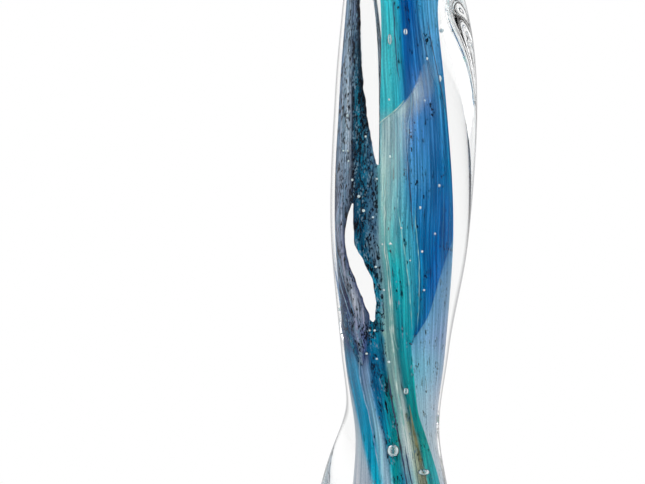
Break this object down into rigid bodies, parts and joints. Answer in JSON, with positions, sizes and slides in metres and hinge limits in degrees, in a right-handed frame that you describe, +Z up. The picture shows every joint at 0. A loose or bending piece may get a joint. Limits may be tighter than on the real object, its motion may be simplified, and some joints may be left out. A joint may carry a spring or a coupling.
{
  "type": "vase",
  "caption": "Tall hand blown art glass vase: a thick clear casing drawn into one twisted fin, with spiralling ribbons of coloured glass and a pale veil inside, on a clear round foot.",
  "frame": {"origin": "centre of the flat face the foot stands on, in the plane of that face", "axes": "+Z up along the bore's axis, -Y towards the front of the vase, +X to the right seen from the front"},
  "size_m": [0.083, 0.0746, 0.4],
  "materials": {
    "foot_clear": "clear, fire polished, ground and polished flat beneath",
    "gather_clear": "clear, fire polished",
    "overlay_clear": "clear, fused between the gather and the casing",
    "casing_clear": "clear, fire polished, a few trapped bubbles",
    "navy": "deep navy with slate streaks",
    "petrol": "petrol blue, finely streaked",
    "mint": "pale mint, milky streaks",
    "teal": "teal, fine vertical fibres",
    "emerald": "emerald green, streaked",
    "amber": "olive brown threads in teal",
    "cobalt": "cobalt blue, fine vertical fibres",
    "steel": "steel blue fading to lilac",
    "lilac": "periwinkle fading to pale lilac",
    "cerulean": "bright cerulean",
    "orchid": "orchid to pale lilac",
    "indigo": "dark indigo",
    "mist": "pale lilac grey, translucent",
    "aqua": "aqua, soft streaks",
    "midnight": "midnight blue, soft streaks",
    "frost": "milky opal veil, combed into fine streaks"
  },
  "bodies": {
    "root": {"foot": "foot_clear", "inner_gather": "gather_clear", "clear_overlay": "overlay_clear", "outer_casing": "casing_clear", "navy_ribbon": "navy", "petrol_ribbon": "petrol", "mint_ribbon": "mint", "teal_ribbon": "teal", "emerald_ribbon": "emerald", "amber_ribbon": "amber", "cobalt_ribbon": "cobalt", "steel_ribbon": "steel", "lilac_ribbon": "lilac", "cerulean_ribbon": "cerulean", "orchid_ribbon": "orchid", "indigo_ribbon": "indigo", "mist_ribbon": "mist", "aqua_ribbon": "aqua", "midnight_ribbon": "midnight", "frost_veil": "frost"}
  },
  "joints": []
}
